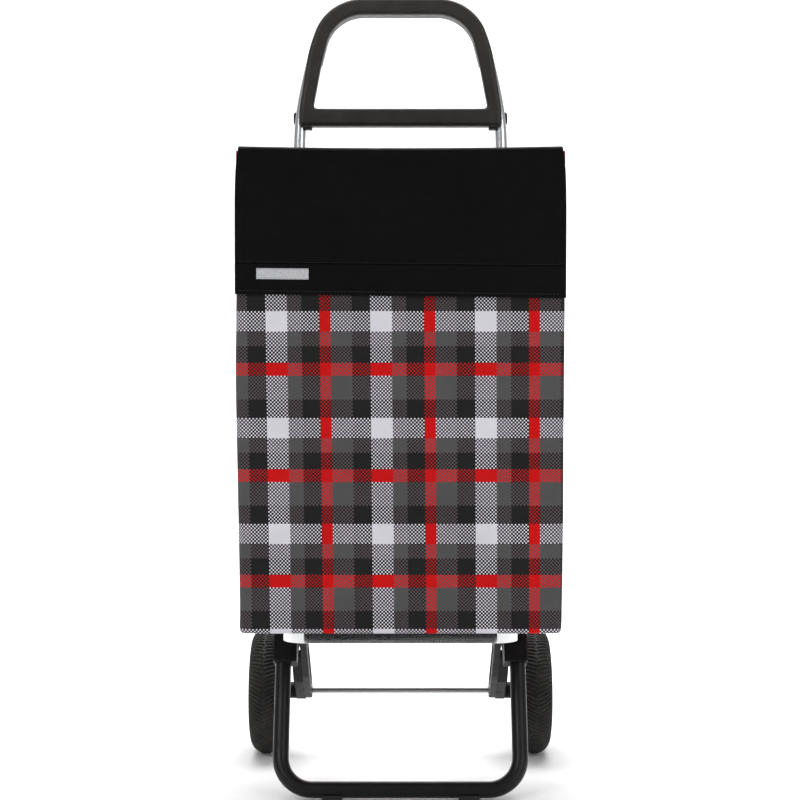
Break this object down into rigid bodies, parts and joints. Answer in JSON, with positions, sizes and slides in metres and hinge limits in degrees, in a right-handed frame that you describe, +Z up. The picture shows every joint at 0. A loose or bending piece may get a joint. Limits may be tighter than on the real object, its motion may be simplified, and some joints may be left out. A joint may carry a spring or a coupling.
{
  "type": "two-wheel shopping trolley",
  "caption": "Two-wheel shopping trolley with a tube frame, D-shaped grip, lidded fabric bag, front foot loop and a wheel carriage that folds forward.",
  "frame": {"origin": "centre of the footprint on the ground, under the whole trolley", "axes": "+Z up, -Y towards the front of the bag, +X to the right seen from the front; the wheels' axle runs along X"},
  "size_m": [0.4078, 0.43, 1.0119],
  "materials": {
    "bare_aluminium": "satin, brushed along the tube",
    "handle_plastic": "fine moulded grain",
    "zinc_steel": "zinc plated",
    "steel_strip": "satin black",
    "arm_paint": "satin dark grey",
    "foot_black": "satin black powder coat",
    "pad_plastic": "matte",
    "hub_plastic": "fine moulded grain",
    "shelf_aluminium": "bright",
    "axle_steel": "bright drawn",
    "tyre_rubber": "matte rubber",
    "rim_plastic": "moulded",
    "bush_plastic": "smooth",
    "plaid_fabric": "printed check on woven polyester",
    "flap_fabric": "coated black polyester",
    "board_plastic": "matte",
    "strap_webbing": "woven webbing",
    "label_cloth": "plain woven label"
  },
  "bodies": {
    "frame": {"frame_tube": "bare_aluminium", "handle_grip": "handle_plastic", "grip_rear_shell": "handle_plastic", "handle_clamps": "handle_plastic", "handle_screws": "zinc_steel", "upper_crossbar": "steel_strip", "lower_crossbar": "steel_strip", "crossbar_rivets": "zinc_steel", "foot_tube": "foot_black", "foot_pad_left": "pad_plastic", "foot_pad_right": "pad_plastic", "hub_left": "hub_plastic", "hub_right": "hub_plastic", "hub_screws": "zinc_steel", "pivot_bolt_left": "zinc_steel", "pivot_bolt_right": "zinc_steel", "pivot_nuts": "zinc_steel", "shelf_bar": "shelf_aluminium", "shelf_rivets": "zinc_steel", "bag_front_panel": "plaid_fabric", "bag_back_panel": "plaid_fabric", "bag_side_left": "plaid_fabric", "bag_side_right": "plaid_fabric", "bag_base_panel": "plaid_fabric", "bag_base_board": "board_plastic", "bag_back_board": "board_plastic", "bag_rim_wire": "zinc_steel", "bag_hooks": "hub_plastic", "bag_strap_left": "strap_webbing", "bag_strap_right": "strap_webbing"},
    "carriage": {"axle_arm_left": "arm_paint", "axle_arm_right": "arm_paint", "arm_cover_left": "hub_plastic", "arm_cover_right": "hub_plastic", "axle": "axle_steel", "axle_rings": "zinc_steel"},
    "wheel_left": {"tyre_left": "tyre_rubber", "rim_left": "rim_plastic", "bush_left": "bush_plastic", "wheel_cap_left": "rim_plastic"},
    "wheel_right": {"tyre_right": "tyre_rubber", "rim_right": "rim_plastic", "bush_right": "bush_plastic", "wheel_cap_right": "rim_plastic"},
    "lid_top": {"lid_top_panel": "flap_fabric", "lid_board": "board_plastic"},
    "lid_front": {"lid_front_flap": "flap_fabric", "flap_label": "label_cloth"}
  },
  "joints": [
    {"name": "carriage_fold", "type": "hinge", "parent": "frame", "child": "carriage", "pos_m": [0, -0.025, 0.188], "axis": [-1, 0, 0], "range_deg": [0, 75]},
    {"name": "wheel_left_spin", "type": "hinge", "parent": "carriage", "child": "wheel_left", "pos_m": [-0.1825, 0.13, 0.085], "axis": [-1, 0, 0], "continuous": true},
    {"name": "wheel_right_spin", "type": "hinge", "parent": "carriage", "child": "wheel_right", "pos_m": [0.1825, 0.13, 0.085], "axis": [-1, 0, 0], "continuous": true},
    {"name": "lid_top_hinge", "type": "hinge", "parent": "frame", "child": "lid_top", "pos_m": [0, 0.023, 0.7896], "axis": [-1, 0, 0], "range_deg": [0, 75]},
    {"name": "lid_front_hinge", "type": "hinge", "parent": "lid_top", "child": "lid_front", "pos_m": [0, -0.2135, 0.7896], "axis": [-1, 0, 0], "range_deg": [0, 90]}
  ]
}
